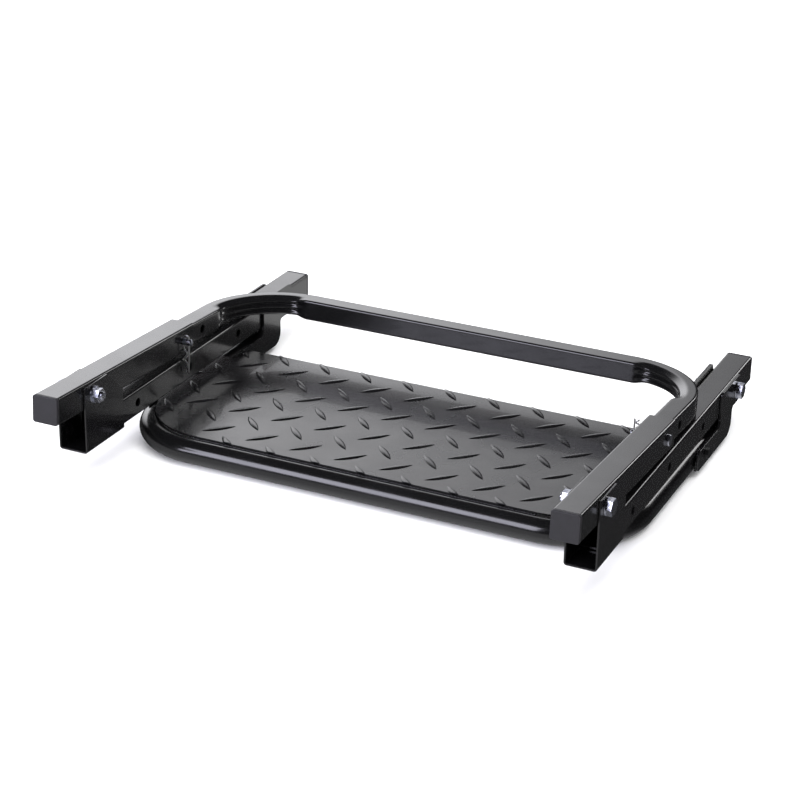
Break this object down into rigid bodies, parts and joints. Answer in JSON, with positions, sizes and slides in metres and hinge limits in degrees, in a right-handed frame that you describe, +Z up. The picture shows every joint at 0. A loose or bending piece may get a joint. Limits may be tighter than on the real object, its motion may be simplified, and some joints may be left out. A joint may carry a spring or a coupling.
{
  "type": "folding tyre step",
  "caption": "Fold-flat tyre step: a telescoping hook bar on two arms, two risers with height holes, and a tread plate platform in a round tube frame.",
  "frame": {"origin": "on the floor, under the middle of the folded step", "axes": "+X along the step's longest side, to its right; +Y from the arm ends to the riser ends; +Z up"},
  "size_m": [0.6576, 0.5926, 0.1236],
  "materials": {
    "powder_coat": "gloss",
    "tread_coat": "gloss",
    "cap_plastic": "matte",
    "zinc": "bright zinc plated",
    "black_bolt": "satin",
    "spring_steel": "bright"
  },
  "bodies": {
    "platform": {"platform_frame": "powder_coat", "tread_plate": "tread_coat", "platform_washers": "zinc", "bracket_screws": "black_bolt", "bracket_screw_nuts": "black_bolt", "bracket_outer_left": "powder_coat", "bracket_inner_left": "powder_coat", "stop_plate_left": "powder_coat", "platform_bolt_left": "zinc", "platform_nut_left": "zinc", "bracket_outer_right": "powder_coat", "bracket_inner_right": "powder_coat", "stop_plate_right": "powder_coat", "platform_bolt_right": "zinc", "platform_nut_right": "zinc"},
    "risers": {"arm_washers": "zinc", "riser_left": "powder_coat", "riser_cap_left": "cap_plastic", "hinge_channel_left": "powder_coat", "arm_bolt_left": "zinc", "arm_nut_left": "zinc", "riser_right": "powder_coat", "riser_cap_right": "cap_plastic", "hinge_channel_right": "powder_coat", "arm_bolt_right": "zinc", "arm_nut_right": "zinc"},
    "arms": {"hook_bar": "powder_coat", "arm_left": "powder_coat", "arm_cap_left": "cap_plastic", "pivot_sleeve_left": "zinc", "arm_right": "powder_coat", "arm_cap_right": "cap_plastic", "pivot_sleeve_right": "zinc"},
    "pin_left": {"lock_pin_left": "zinc"},
    "clip_left": {"r_clip_left": "spring_steel"},
    "pin_right": {"lock_pin_right": "zinc"},
    "clip_right": {"r_clip_right": "spring_steel"}
  },
  "joints": [
    {"name": "platform_fold", "type": "hinge", "parent": "platform", "child": "risers", "pos_m": [0, 0.22533, 0.05647], "axis": [-1, 0, 0], "range_deg": [0, 90]},
    {"name": "arm_fold", "type": "hinge", "parent": "risers", "child": "arms", "pos_m": [0, -0.22567, 0.10422], "axis": [1, 0, 0], "range_deg": [0, 63]},
    {"name": "pin_spin_left", "type": "hinge", "parent": "arms", "child": "pin_left", "pos_m": [-0.30162, -0.02593, 0.09403], "axis": [-1, 0, 0], "continuous": true},
    {"name": "clip_pull_left", "type": "slide", "parent": "pin_left", "child": "clip_left", "axis": [0, -0.051, -0.9987], "range_m": [0, 0.025]},
    {"name": "pin_spin_right", "type": "hinge", "parent": "arms", "child": "pin_right", "pos_m": [0.30162, -0.02593, 0.09403], "axis": [1, 0, 0], "continuous": true},
    {"name": "clip_pull_right", "type": "slide", "parent": "pin_right", "child": "clip_right", "axis": [0, -0.051, -0.9987], "range_m": [0, 0.025]}
  ]
}
